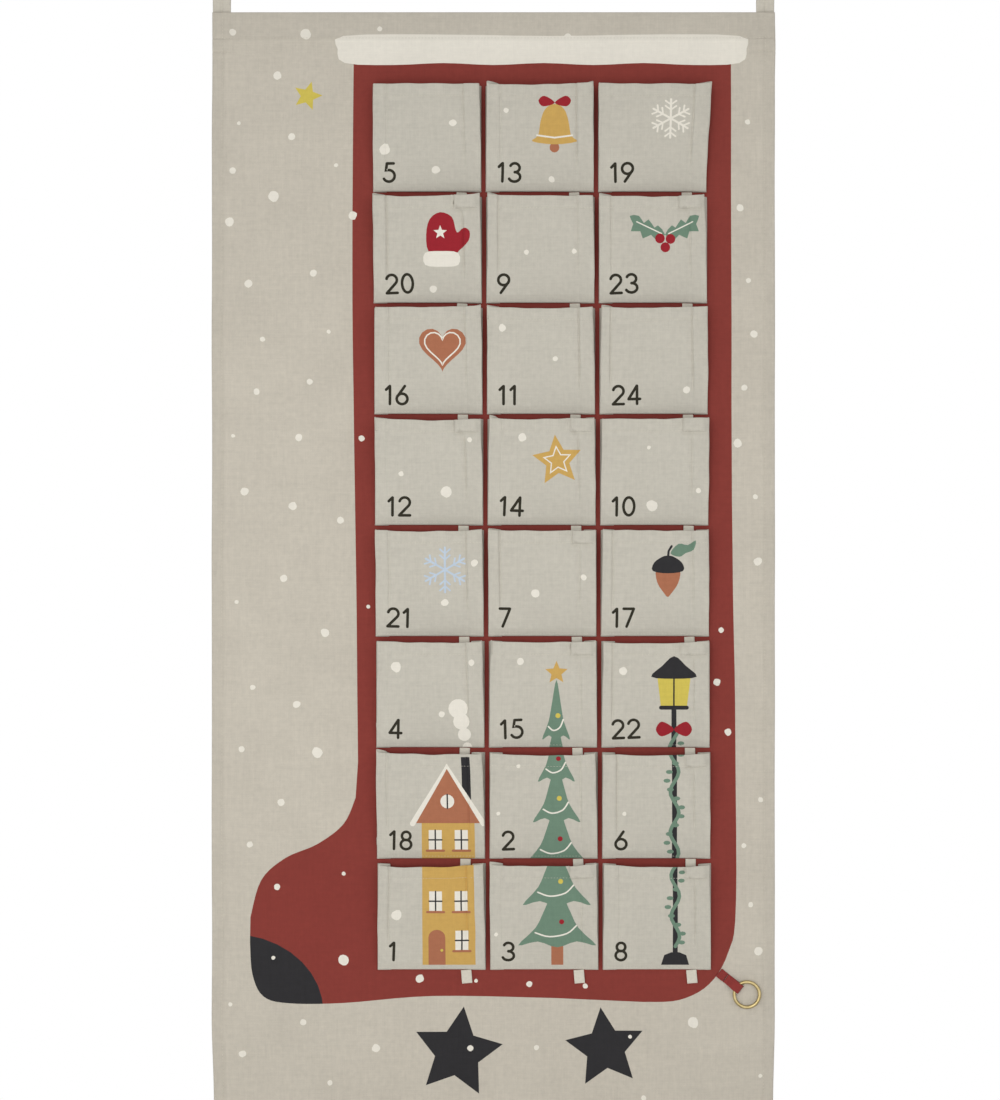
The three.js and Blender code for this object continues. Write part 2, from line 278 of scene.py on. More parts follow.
panel_linen = linen("panel_linen", (195.5, 188.5, 175))
inks = {
    ink: linen(ink + "_print", colour, unevenness=unevenness)
    for ink, colour, unevenness in (
        ("red", (132, 56.5, 49.5), 0.3),
        ("cream", (229, 224, 212), 0.18),
        ("charcoal", (44, 43, 45), 0.42),
        ("yellow", (205, 187, 86), 0.26),
        ("ochre", (199, 161, 89), 0.26),
        ("green", (108, 134, 115), 0.3),
        ("terracotta", (168, 108, 80), 0.3),
        ("crimson", (150, 34, 44), 0.3),
        ("ice", (186, 200, 216), 0.22),
        ("numeral", (46, 43, 33), 0.42),
    )
}
ink_slots = {name: k + 1 for k, name in enumerate(inks)}


def smooth(value):
    """0 below 0 and 1 above 1, with a soft bend between them."""
    t = min(max(value, 0.0), 1.0)
    return t * t * (3 - 2 * t)


def wave(turns):
    """Up from 0 to 1 and back again, once in each turn."""
    return (1 - math.cos(2 * math.pi * turns)) / 2


def beside(distance, width):
    """1 on a line across the cloth, and soon nothing beside it."""
    return math.exp(-((distance / width) ** 2))


def uneven(a, b, seed):
    """The cloth's soft, random unevenness, the same on each run."""
    return noise.noise(Vector((a, b, seed)))


def over_hem(x, drop):
    """1 where a hem lies behind the face, and 0 over the single cloth."""
    return max(
        smooth((abs(x) - half_panel + hem_sides + 0.002) / 0.0024),
        smooth((hem_top + 0.002 - drop) / 0.0026),
        smooth((drop - panel_length + hem_bottom + 0.002) / 0.0026),
    )


def over_strap(x, drop):
    """How the tail of a hanging loop, sewn down behind the corner by two rows, shows in the face."""
    shown = smooth((abs(x) - strap_side + 0.001) / 0.0014) * smooth((strap_tail + 0.0016 - drop) / 0.0014)
    pulled_in = sum(beside(drop - row, 0.0011) for row in strap_rows)
    return shown * (strap_shows - stitches_pull_in * pulled_in)


def panel_lift(x, drop):
    """How far the hanging panel stands towards the front: its folds, and the layers behind its face."""
    low = smooth((drop - bottom_folds_from) / (panel_length - bottom_folds_from))
    bottom = bottom_fold_depth * low * wave(bottom_folds * (x + half_panel) / panel_width)
    margin_right = first_column - half_pocket - 0.018
    left = smooth((margin_right - x) / (margin_right + half_panel))
    free = smooth((drop - hem_top) / row_pitch) * (1 - low)
    margin = margin_fold_depth * left * free * wave(margin_folds * drop / panel_length)
    from_corner = math.hypot(half_panel - x, drop - 1.3 * hem_top)
    corner = corner_fold_depth * smooth(1 - from_corner / corner_fold_reach)
    ripple = uneven(x * 9, drop * 14, 3.1) * ripple_depth * max(left, low)
    ripple += uneven(x * 30, drop * 24, 5.3) * small_ripple_depth * max(left, low, 0.2)
    return bottom + margin + corner + hem_shows * over_hem(x, drop) + over_strap(x, drop) + ripple


def turned(along, hem):
    """Cloth past the start of a turned edge: how far out it is, and how far behind the face."""
    bend = math.pi * edge_round
    if along <= 0:
        return along, 0.0
    if along <= bend:
        return edge_round * math.sin(along / edge_round), edge_round * (1 - math.cos(along / edge_round))
    flat = hem - edge_round - hem_tuck
    if along <= bend + flat:
        return bend - along, 2 * edge_round
    tuck = (along - bend - flat) / hem_tuck
    return -flat - hem_tuck * math.sin(tuck), 2 * edge_round - hem_tuck * (1 - math.cos(tuck))


def turned_cloth(hem):
    """How much cloth a turned hem takes, from the start of its bend to its raw edge."""
    return math.pi * edge_round + hem - edge_round - hem_tuck + 1.9 * hem_tuck


side_turn, top_turn, bottom_turn = half_panel - edge_round, -edge_round, edge_round - panel_length


def on_panel(x, height):
    """A point of the flat cloth, in its place on the hanging panel."""
    out, behind = turned(abs(x) - side_turn, hem_sides)
    if height > top_turn:
        rise, back = turned(height - top_turn, hem_top)
        up = top_turn + rise
    else:
        rise, back = turned(bottom_turn - height, hem_bottom)
        up = bottom_turn - rise
    gathered = 1 - drawn_in_low * smooth((-up - 1.0) / 0.1) - edge_wander * uneven(x, up * 11, 2.2)
    across = math.copysign(side_turn + out, x) * gathered
    return hang_height + Vector((across, behind + back - panel_lift(across, -up), up))


def flat_cloth(left, right, bottom, top, cell):
    """A flat piece of cloth, in squares of about the size of its cell."""
    cloth = bmesh.new()
    lie = Matrix.Translation(((left + right) / 2, (bottom + top) / 2, 0))
    lie = lie @ Matrix.Diagonal(((right - left) / 2, (top - bottom) / 2, 1, 1))
    across, along = (max(1, round(span / cell)) for span in (right - left, top - bottom))
    bmesh.ops.create_grid(cloth, x_segments=across, y_segments=along, size=1, matrix=lie)
    return cloth


def crease(cloth, axis, places, lean=0.0):
    """Lines across the flat cloth where it is folded later, upright for axis 0 and level for 1."""
    for place in places:
        middle, facing = Vector(), Vector()
        middle[axis], facing[axis], facing[1 - axis] = place, 1, lean
        everything = cloth.verts[:] + cloth.edges[:] + cloth.faces[:]
        bmesh.ops.bisect_plane(cloth, geom=everything, dist=2e-5, plane_co=middle, plane_no=facing)


def extent(points):
    """The box round some points: its left, bottom, right and top."""
    xs, ys = [p[0] for p in points], [p[1] for p in points]
    return min(xs), min(ys), max(xs), max(ys)


def apart(a, b, gap=0.0):
    """True where more than the gap lies between two boxes."""
    return a[2] + gap < b[0] or b[2] + gap < a[0] or a[3] + gap < b[1] or b[3] + gap < a[1]


def crosses(box, a, b):
    """True where the line from a to b goes through the box."""
    if apart(box, extent((a, b))):
        return False
    dx, dy = b[0] - a[0], b[1] - a[1]
    sides = [(x - a[0]) * dy - (y - a[1]) * dx > 0 for x in (box[0], box[2]) for y in (box[1], box[3])]
    return any(sides) and not all(sides)


def enclosed(x, y, rings):
    """True inside a drawn shape, whose inner rings are holes."""
    inside = False
    for ring in rings:
        for (x0, y0), (x1, y1) in zip(ring, ring[1:] + ring[:1]):
            if (y0 > y) != (y1 > y) and x < x0 + (y - y0) * (x1 - x0) / (y1 - y0):
                inside = not inside
    return inside


def squares(box, size=0.005):
    """The numbers of the 5 mm squares of flat cloth that a box reaches."""
    low, high = ([int(c // size) for c in box[k : k + 2]] for k in (0, 2))
    return [(i, j) for i in range(low[0], high[0] + 1) for j in range(low[1], high[1] + 1)]


class Print:
    """Printing on one piece of flat cloth, with its faces kept by the squares that they reach."""

    def __init__(self, cloth):
        self.cloth, self.boxes, self.kept = cloth, {}, {}
        self.keep(cloth.faces)

    def keep(self, faces):
        for face in faces:
            box = self.boxes[face] = extent([v.co for v in face.verts])
            for square in squares(box):
                self.kept.setdefault(square, {})[face] = True

    def near(self, box):
        return {face for square in squares(box) for face in self.kept.get(square, ())}

    def add(self, rings, ink, only=None):
        """Ink a drawn shape: the cloth is cut along its outline, and the faces inside it are inked."""
        for ring in rings:
            for a, b in zip(ring, ring[1:] + ring[:1]):
                met = [face for face in self.near(extent((a, b))) if crosses(self.boxes[face], a, b)]
                if not met:
                    continue
                parts = {part for face in met for part in (face, *face.edges, *face.verts)}
                facing = Vector((b[1] - a[1], a[0] - b[0], 0)).normalized()
                cut = bmesh.ops.bisect_plane(
                    self.cloth, geom=list(parts), dist=1e-6, plane_co=(a[0], a[1], 0), plane_no=facing
                )
                self.keep(part for part in cut["geom"] if isinstance(part, bmesh.types.BMFace))
        for face in self.near(extent([p for ring in rings for p in ring])):
            middle = face.calc_center_median()
            allowed = only is None or face.material_index == ink_slots[only]
            if allowed and enclosed(middle.x, middle.y, rings):
                face.material_index = ink_slots[ink]


def sewn(cloth, name, thickness, place, *materials):
    """Flat cloth put in its place, with its own map in metres and its thickness behind its face."""
    layout = cloth.loops.layers.uv.new("cloth")
    for face in cloth.faces:
        for loop in face.loops:
            loop[layout].uv = loop.vert.co.xy
    for vert in cloth.verts:
        vert.co = place(vert.co.x, vert.co.y)
    piece = finished(cloth, name, *materials)
    depth = piece.modifiers.new("thickness", "SOLIDIFY")
    depth.thickness = thickness
    depth.offset = -1
    depth.material_offset = depth.material_offset_rim = len(materials) - 1
    return piece


def flow(points, closed=False, steps=5):
    """A smooth line through a few drawn points."""
    count = len(points)
    pick = (lambda k: points[k % count]) if closed else (lambda k: points[min(max(k, 0), count - 1)])
    line = []
    for k in range(count if closed else count - 1):
        near = [pick(k + j) for j in (-1, 0, 1, 2)]
        for step in range(steps):
            t = step / steps
            weights = (
                -t / 2 + t * t - t**3 / 2, 1 - 2.5 * t * t + 1.5 * t**3,
                t / 2 + 2 * t * t - 1.5 * t**3, -t * t / 2 + t**3 / 2,
            )
            line.append(tuple(sum(w * p[i] for w, p in zip(weights, near)) for i in (0, 1)))
    return line if closed else [*line, tuple(points[-1])]


def oval(x, y, wide, high=None, start=0, end=360, steps=20):
    """An oval about its middle, or a part of one between two angles."""
    turns = [math.radians(start + (end - start) * k / steps) for k in range(steps + (end - start < 360))]
    return [(x + wide * math.cos(t), y + (high or wide) * math.sin(t)) for t in turns]


def star(x, y, outer, inner, turn=90):
    """A star with five tips, the first of them at the angle that it is turned to."""
    tips = [(inner if k % 2 else outer, math.radians(turn + 36 * k)) for k in range(10)]
    return [(x + reach * math.cos(t), y + reach * math.sin(t)) for reach, t in tips]


def at_size(ring, x=0, y=0, size=0.001):
    """A shape drawn in millimetres, in metres and in its place."""
    return [((px + x) * size, (py + y) * size) for px, py in ring]


# The print: a large stocking behind the pockets, with a cream cuff and a darker toe, three stars, and
# snow over the whole face. It is inked on the flat cloth, and drawn here in millimetres.
stocking = [
    *flow([(-140, -50), (-141, -290), (-137, -590), (-135.5, -750)], steps=8),
    *flow([(-138, -786), (-150, -812), (-176, -832), (-208, -846), (-232, -868), (-243, -905)]),
    *flow([(-243.5, -930), (-241, -962), (-230, -984), (-205, -991), (-150, -991), (-60, -984), (60, -986)]),
    *flow([
        (150, -990), (186, -988), (216, -972), (235, -940), (242.5, -890), (241.5, -690), (238.5, -490),
        (237.5, -50),
    ]),
]
cuff = flow([
    (-150, -24), (-60, -22.5), (60, -24), (160, -22.5), (246, -24), (253, -37), (246, -51), (200, -53),
    (150, -51), (100, -53), (50, -51), (0, -53), (-50, -51), (-100, -53), (-149, -51), (-156, -37),
], True, 3)
panel_print = [
    (stocking, "red", None),
    (cuff, "cream", None),
    (oval(-262, -1000, 92, 78, steps=36), "charcoal", "red"),
    (star(-186, -84, 15, 6.8, 74), "yellow", None),
    (star(-36, -1040, 46, 23, 82), "charcoal", None),
    (star(112, -1036, 41, 20, 97), "charcoal", None),
]

# Snow: uneven cream dots, clear of the printed edges, of the ring and of each other. Those that fall
# on a pocket are inked on it, and the others on the panel, short of the pockets' edges.
snow_apart, clear_of_print, ring_place, clear_of_ring = 47, 9, (248, 978), 34
falling = random.Random(1224)
snow = []
for attempt in range(2600):
    x, drop = falling.uniform(-268, 268), falling.uniform(16, 1108)
    radius = falling.choice((2.0, 2.6, 3.1, 3.6, 4.2, 5.4))
    to_print = min(math.hypot(x - px, drop + py) for outline, _, _ in panel_print for px, py in outline)
    if to_print < radius + clear_of_print or math.dist((x, drop), ring_place) < clear_of_ring:
        continue
    if any(math.hypot(x - other, drop - low) < snow_apart for other, low, _ in snow):
        continue
    dot = []
    for t in (2 * math.pi * k / 12 for k in range(12)):
        reach = radius * (1 + 0.24 * uneven(math.cos(t), math.sin(t), len(snow) * 1.7))
        dot.append((x + reach * math.cos(t), -drop + reach * math.sin(t)))
    snow.append((x, drop, dot))


def beside_pockets(x, drop):
    """True where no pocket covers the panel."""
    return not any(
        abs(x * 0.001 - right) < half_pocket + 0.006 and -0.006 < -drop * 0.001 - up < pocket_height + 0.012
        for _, _, right, up in each_pocket()
    )


panel_side = side_turn + turned_cloth(hem_sides)
panel_top = top_turn + turned_cloth(hem_top)
panel_bottom = bottom_turn - turned_cloth(hem_bottom)
sheet = flat_cloth(-panel_side, panel_side, panel_bottom, panel_top, cell=0.010)
bend = [math.pi * edge_round * k / 6 for k in range(7)]
for hem, axis, fold, sign in (
    (hem_sides, 0, side_turn, 1),
    (hem_sides, 0, -side_turn, -1),
    (hem_top, 1, top_turn, 1),
    (hem_bottom, 1, bottom_turn, -1),
):
    flat_end = math.pi * edge_round + hem - edge_round - hem_tuck
    crease(sheet, axis, [fold + sign * s for s in bend])
    crease(sheet, axis, [fold + sign * (flat_end + hem_tuck * s) for s in (0, 0.6, 1.2)])
    crease(sheet, axis, [fold + sign * (edge_round - hem + s) for s in (-0.0023, -0.0012, 0, 0.0006)])
crease(sheet, 1, [-row - s for row in strap_rows for s in (-0.0018, -0.0008, 0, 0.0008)])
crease(sheet, 1, [-strap_tail - s for s in (0.0002, 0.0016)])
crease(sheet, 0, [side * (strap_side - s) for side in (-1, 1) for s in (0.001, -0.0004)])
corner_cut = side_turn + edge_round - hem_sides - 0.0004
crease(sheet, 0, [corner_cut, -corner_cut])
quarter = math.pi * edge_round / 2
spare = []
for face in sheet.faces:
    middle = face.calc_center_median()
    past_side = abs(middle.x) - side_turn
    past_end = max(middle.y - top_turn, bottom_turn - middle.y)
    if past_end > 0 and past_side > quarter or past_end > quarter and abs(middle.x) > corner_cut:
        spare.append(face)
bmesh.ops.delete(sheet, geom=spare, context="FACES")
panel_inking = Print(sheet)
for outline, ink, only in panel_print:
    panel_inking.add([at_size(outline)], ink, only)
for x, drop, dot in snow:
    if beside_pockets(x, drop):
        panel_inking.add([at_size(dot)], "cream")
# Painted shade: each point of the panel gets 1 over its hems and 0 over the single cloth, and the cloth's
# colour is darkened by it.
painted_hem_shade = sheet.verts.layers.float.new("painted_hem_shade")
for vert in sheet.verts:
    vert[painted_hem_shade] = over_hem(vert.co.x, -vert.co.y)
panel = sewn(sheet, "panel_cloth", panel_cloth, on_panel, panel_linen, *inks.values(), panel_linen)
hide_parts("back_panel")
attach(panel, "calendar")


# Sewing thread: the panel's hems are sewn once round, 2 mm inside their turned edges, and each
# hanging loop is sewn on with two level rows. A stitch is one small, long bead of thread.
stitch_pitch, stitch_length, thread_width = 0.0033, 0.0024, 0.00042
strap_row_reach = 0.0082
to_front, to_back = Vector((0, -1, 0)), Vector((0, 1, 0))


def spun_thread(name, colour):
    """Cotton thread, whose beads are too small for a map of their own."""
    twist = {"Yarn": 0.0004, "Unevenness": 0.5}
    return cloth_of(weave_group, name, colour, twist, roughness=0.7, sheen=0.1, mapped=False)


thread = spun_thread("sewing_thread", (206, 200, 186))
stitch_shape = bmesh.new()
bmesh.ops.create_uvsphere(stitch_shape, u_segments=6, v_segments=4, radius=0.5)
stitch = bpy.data.meshes.new("stitch")
stitch_shape.to_mesh(stitch)
stitch_shape.free()


def stitched(seam, line, length=stitch_length, thick=thread_width):
    """One stitch after another along a line of (point, outward) pairs that are a stitch apart."""
    for (here, outward), (after, _) in zip(line, line[1:]):
        along = (after - here).normalized()
        aside = along.cross(outward).normalized()
        turn = Matrix((along, aside, aside.cross(along))).transposed().to_4x4()
        size = Matrix.Diagonal((length, thick, thick * 0.9, 1))
        one = stitch.copy()
        one.transform(Matrix.Translation((here + after) / 2) @ turn @ size)
        seam.from_mesh(one)
        bpy.data.meshes.remove(one)


def row_of(start, end, pitch=stitch_pitch):
    """The places of a straight row, a stitch apart."""
    steps = max(1, round(math.dist(start, end) / pitch))
    return [tuple(a + (b - a) * k / steps for a, b in zip(start, end)) for k in range(steps + 1)]


def panel_rows(seam, start, end, behind=None):
    """A row of stitches as seen on the panel's face, and on its back over the hem."""
    face = [(on_panel(x, z) - Vector((0, 0.0001, 0)), to_front) for x, z in row_of(start, end)]
    stitched(seam, face)
    if behind is not None:
        stitched(seam, [(point + Vector((0, behind, 0)), to_back) for point, _ in face])


seam = bmesh.new()
inner_side = half_panel - hem_sides + 0.0018
inner_top, inner_bottom = -hem_top + 0.002, -panel_length + hem_bottom - 0.002
through = 2 * edge_round + 0.00015
for side in (-1, 1):
    panel_rows(seam, (side * inner_side, -0.004), (side * inner_side, 0.004 - panel_length), through)
    strap_middle = side * (half_panel - strap_from_edge)
    for drop in strap_rows:
        panel_rows(seam, (strap_middle - strap_row_reach, -drop), (strap_middle + strap_row_reach, -drop))
panel_rows(seam, (-inner_side, inner_top), (inner_side, inner_top), through)
panel_rows(seam, (-inner_side, inner_bottom), (inner_side, inner_bottom), through)
panel_seams = finished(seam, "panel_seams", thread)
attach(panel_seams, "calendar")


# Pockets: 24 pieces of the same linen, a little paler. Each has a hemmed mouth, a pleat folded in at
# each side so that it can open, and a bottom edge turned under and sewn to the panel.
pocket_cloth, pleat = 0.00055, 0.0148
mouth_depth, seam_depth = 0.015, 0.0019
lip_round, seam_round = 0.00062, 0.0007
mouth_hem, seam_tuck = 0.013, 0.003
seam_row, mouth_row, seam_allowance, corner_side = 0.0024, 0.0936, 0.0085, 0.0505
fold_shows, fold_groove, allowance_shows, corner_shows = 0.0011, 0.0009, 0.0004, 0.0016
seam_dent, hem_dent = 0.00018, 0.00022
snow_from, snow_to, snow_from_print = (-0.050, 0.006), (0.050, 0.100), 0.003
sewn_round = ((-0.0537, 0.1045), (-0.0537, 0.0012), (0.0537, 0.0012), (0.0537, 0.1045))
pocket_linen = linen("pocket_linen", (193, 188.5, 176.5))
pocket_back = hang_height + Vector((0, -0.0003, 0))


def pocket_depth(height):
    """How far the front stands off the panel: little at the seam, and most at the mouth."""
    return seam_depth + (mouth_depth - seam_depth) * max(height / pocket_height, 0.0) ** 0.68


def fold_line(along, depth):
    """The pocket's level section: the front, then each pleat folded in and back out to the panel."""
    inset = math.sqrt(pleat**2 - (depth / 2) ** 2)
    out = abs(along)
    if out <= half_pocket:
        x, y = out, -depth
    elif out <= half_pocket + pleat:
        t = (out - half_pocket) / pleat
        x, y = half_pocket - inset * t, depth * (t / 2 - 1)
    else:
        t = min((out - half_pocket - pleat) / pleat, 1)
        x, y = half_pocket - inset * (1 - t), -depth / 2 * (1 - t)
    return math.copysign(x, along), y


def rounded_fold(along, depth):
    """The same section, with a soft bend at each fold."""
    if abs(along) < half_pocket - 0.002:
        return Vector((along, -depth))
    near = [Vector(fold_line(along + k * 0.0007, depth)) for k in (-2, -1, 0, 1, 2)]
    return sum(near, Vector((0, 0))) / 5


class Wear:
    """How one pocket hangs: its mouth, its lean and its creases. Number 19 stands out at its right."""

    def __init__(self, day):
        chance = random.Random(day * 31 + 5).uniform
        self.seed = day * 3.7
        self.open = chance(0.9, 1.04)
        self.bow = chance(0.0015, 0.0026)
        self.sag = chance(0.0004, 0.0021)
        self.drawn_in = [chance(-0.0003, 0.0012), chance(0.0002, 0.0026)]
        if day == 19:
            self.drawn_in[1] = -0.0054
        self.pleat_at = [chance(0.0365, 0.0440), chance(0.0362, 0.0386)]
        self.pleat_lean = [chance(-0.014, 0.014), chance(-0.012, 0.016)]
        self.pleat_rise = [chance(0.0, 0.0009), chance(0.0006, 0.0011)]
        self.end_rise = [max(chance(-0.0008, 0.0030), 0.0), max(chance(-0.0008, 0.0018), 0.0)]
        self.end_at = [chance(0.0340, 0.0440), chance(0.0300, 0.0420)]
        self.tilt = chance(-0.0009, 0.0009)
        self.skew = chance(-0.0009, 0.0009)
        self.turned_corner = chance(0, 1) < 0.62 and day not in (5, 13, 19)
        self.corner_at = chance(0.0240, 0.0300)


def ridge(distance, rise, groove):
    """A pressed fold seen through the cloth: a small groove, and the cloth beyond it raised."""
    return rise * smooth(distance / 0.0013) - groove * beside(distance + 0.0002, 0.0006)


def relief(wear, x, height):
    """The front's own small shape: pleats showing through, seams, a turned corner, soft creases."""
    seed = wear.seed
    body = smooth(height / 0.018)
    soft = uneven(x * 24, height * 17, seed) * 0.0009
    soft += uneven(x * 70, height * 34, seed + 9) * 0.00022
    shown = 0.0
    for side, out in ((0, -x), (1, x)):
        edge = wear.pleat_at[side] - wear.pleat_lean[side] * (height - 0.05)
        if side == 1 and wear.turned_corner:
            edge -= 0.0120 * smooth((height - 0.085) / 0.02)
        share = smooth((height - 0.012) / 0.03) * wear.pleat_rise[side] / 0.0008
        shown += ridge(out - edge, fold_shows, fold_groove) * share
    allowance = allowance_shows * (1 - smooth((height - seam_allowance) / 0.0022))
    seam_line = seam_dent * beside(height - seam_row, 0.0009)
    hem_line = hem_dent * beside(height - mouth_row, 0.0011)
    gather = 0.00010 * math.sin(x * 2 * math.pi / 0.0072 + seed) * math.exp(-abs(height - 0.004) / 0.005)
    gather += 0.00006 * math.sin(x * 2 * math.pi / 0.0094 + seed) * math.exp(-abs(height - mouth_row) / 0.004)
    corner = 0.0
    if wear.turned_corner:
        within = smooth((x - wear.corner_at) / 0.0013) * smooth((corner_side - x) / 0.0016)
        corner = corner_shows * within * smooth((height - 0.0922) / 0.0011)
        corner -= 0.0011 * within * beside(height - 0.0920, 0.0007)
        corner -= 0.0010 * smooth((height - 0.0915) / 0.001) * beside(x - wear.corner_at, 0.0008)
    return body * (soft + shown) + allowance - seam_line - hem_line + gather + corner


def over_ends(up):
    """A height on the flat cloth, followed round the tuck of the seam and over the lip of the mouth."""
    lip = pocket_height - lip_round
    height, tucked, inside = up, 0.0, 0.0
    if up < seam_round:
        under = (seam_round - up) / seam_round
        if under < math.pi:
            tucked, height = (1 - math.cos(under)) / 2, seam_round * (1 - math.sin(under))
        else:
            tucked, height = 1.0, seam_round * (1 + under - math.pi)
    elif up > lip:
        over = (up - lip) / lip_round
        if over < math.pi:
            inside, height = lip_round * (1 - math.cos(over)), lip + lip_round * math.sin(over)
        else:
            inside, height = 2 * lip_round, lip - lip_round * (over - math.pi)
    return height, tucked, inside


def on_pocket(wear, along, up):
    """A point of a pocket's flat cloth in its place, from the middle of its bottom seam, and its outward."""
    height, tucked, inside = over_ends(up)
    share = height / pocket_height
    depth = pocket_depth(height) * (1 + (wear.open - 1) * share)
    x, y = rounded_fold(along, depth)
    run = rounded_fold(along + 0.0005, depth) - rounded_fold(along - 0.0005, depth)
    run = run.normalized()
    outward = Vector((run.y, -run.x))

    side, out = (0, -1) if along < 0 else (1, 1)
    front = smooth((half_pocket + 0.001 - abs(along)) / 0.004)
    across = 1 - min(abs(along) / half_pocket, 1) ** 2
    y -= wear.bow * across * min(share * 1.7, 1) * front
    if abs(along) < half_pocket:
        push = relief(wear, along, height) * front
    else:
        push = uneven(along * 60, height * 30, wear.seed) * 0.0004 * smooth(height / 0.02)
    x += outward.x * (push - inside)
    y += outward.y * (push - inside)

    reach = min(abs(x) / half_pocket, 1)
    free = smooth((half_pocket + 1.5 * pleat - abs(along)) / (1.5 * pleat))
    wobble = uneven(height * 36, wear.seed, side * 5.0) * 0.0007 * smooth(share * 3)
    x -= out * (wear.drawn_in[side] * max(share, 0) ** 1.6 + wobble) * reach * free
    x += wear.skew * share * free
    y = y * (1 - tucked) - 0.0004 * tucked

    sag = wear.sag * share**8 * across
    pleated = smooth((abs(along) - half_pocket + 0.004) / 0.005)
    ends = wear.end_rise[side] * (0.1 + 1.15 * pleated) * smooth((abs(x) - wear.end_at[side]) / 0.0022)
    ragged = uneven(along * 55, wear.seed, 1.7) * 0.0009
    rise = (ends + ragged + wear.tilt * x / half_pocket) * max(share, 0) ** 9 * free
    point = Vector((x, min(y, -0.0001), height - sag + rise))
    return point, Vector((outward.x, outward.y, 0))


# Numerals: thin, even strokes with round ends in dark ink, at the lower left of each pocket. They are
# drawn here on a height of 1, and printed 18 mm high with a slight lean of their own.
def joined(*parts):
    return [point for part in parts for point in part]


numerals = {
    "0": (0.56, [oval(0.28, 0.5, 0.28, 0.5, steps=26)]),
    "1": (0.32, [[(0.02, 0.79), (0.21, 0.99)], [(0.22, 0.99), (0.22, 0.0)]]),
    "2": (0.56, [joined(oval(0.28, 0.72, 0.27, 0.28, 165, -38, 14), [(0, 0)]), [(0, 0), (0.56, 0)]]),
    "3": (0.58, [oval(0.28, 0.755, 0.25, 0.245, 155, -90, 12), oval(0.27, 0.26, 0.30, 0.26, 88, -155, 14)]),
    "4": (0.6, [[(0.44, 0.0), (0.44, 1.0)], [(0.43, 1.0), (0.0, 0.27)], [(0.0, 0.27), (0.6, 0.27)]]),
    "5": (0.54, [
        [(0.5, 1.0), (0.15, 1.0)],
        joined([(0.15, 1.0), (0.08, 0.55)], oval(0.24, 0.32, 0.3, 0.32, 105, -150, 15)),
    ]),
    "6": (0.56, [oval(0.28, 0.29, 0.28, 0.29, steps=22), [(0.42, 1.0), (0.03, 0.41)]]),
    "7": (0.52, [[(0.0, 1.0), (0.52, 1.0)], [(0.52, 1.0), (0.16, 0.0)]]),
    "8": (0.54, [oval(0.27, 0.76, 0.22, 0.24, steps=20), oval(0.27, 0.27, 0.27, 0.27, steps=22)]),
    "9": (0.56, [oval(0.28, 0.71, 0.28, 0.29, steps=22), [(0.53, 0.59), (0.14, 0.0)]]),
}


def pen(points, width, closed=False):
    """The outline of a line drawn with a round pen."""
    count, left, right = len(points), [], []
    for k, (x, y) in enumerate(points):
        ax, ay = points[(k - 1) % count] if closed else points[max(k - 1, 0)]
        bx, by = points[(k + 1) % count] if closed else points[min(k + 1, count - 1)]
        run = math.hypot(bx - ax, by - ay) or 1.0
        nx, ny = -(by - ay) / run * width / 2, (bx - ax) / run * width / 2
        left.append((x + nx, y + ny))
        right.append((x - nx, y - ny))
    if closed:
        return [left, right]

    def end_cap(centre, start):
        turn = math.atan2(start[1] - centre[1], start[0] - centre[0])
        turns = [turn - a for a in (0.63, 1.26, 1.88, 2.51)]
        return [(centre[0] + width / 2 * math.cos(t), centre[1] + width / 2 * math.sin(t)) for t in turns]

    return [[*left, *end_cap(points[-1], left[-1]), *reversed(right), *end_cap(points[0], right[0])]]


def drawn_number(day):
    """The strokes of a pocket's number, in millimetres from the middle of its seam."""
    height, stretch, stroke_width, apart_by = 17.8, 1.08, 2.8, 4.8
    left, foot, middle = -41.9, 9.6, (-30, 9)
    lean = random.Random(day).uniform(-0.045, 0.045)
    shapes, x = [], left + random.Random(day + 50).uniform(-0.9, 1.4)
    for figure in str(day):
        wide, strokes = numerals[figure]
        for stroke in strokes:
            closed = math.dist(stroke[0], stroke[-1]) < 0.2
            line = [(x + px * height * stretch, foot + py * height) for px, py in stroke]
            line = [(px + lean * (middle[1] - py), py + lean * (px - middle[0])) for px, py in line]
            shapes.append((pen(line, stroke_width, closed), "numeral"))
        x += wide * height * stretch + apart_by
    return shapes


# Small pictures: plain winter things, each on one pocket, and three tall ones over three pockets.
# They are drawn in millimetres from the middle of a pocket's seam.
def filled(points, ink, x=0, y=0, steps=3):
    """A smooth shape through its drawn points."""
    return [at_size(flow(points, True, steps), x, y, 1)], ink


def disc(x, y, wide, ink, high=None, steps=12):
    """A round or oval spot."""
    return [oval(x, y, wide, high, steps=steps)], ink


def mitten(x, y):
    hand = [
        (-11, -10), (-13, 4), (-10, 17), (-1, 23), (9, 19), (12, 9), (14, 6), (19, 10), (24, 7), (23, -1),
        (15, -9), (12, -11), (0, -12),
    ]
    band = [(-14, -21), (-14, -11), (0, -9.5), (14, -11), (14, -21), (0, -22.5)]
    badge = [star(x - 1, y + 6, 6, 2.6)], "cream"
    return [filled(hand, "crimson", x, y), filled(band, "cream", x, y), badge]


def bell(x, y):
    body = [
        (-19, -13), (-14, -8), (-12, 4), (-8, 14), (0, 18), (8, 14), (12, 4), (14, -8), (19, -13), (0, -15.5),
    ]
    bow = [[(0, 19), (9 * side, 25), (14 * side, 21), (10 * side, 16)] for side in (-1, 1)]
    return [
        disc(x, y - 18, 4.2, "terracotta"),
        filled(body, "ochre", x, y),
        (pen([(x - 15, y - 8), (x, y - 10), (x + 15, y - 8)], 1.4), "cream"),
        *(filled(half, "crimson", x, y, 4) for half in bow),
    ]


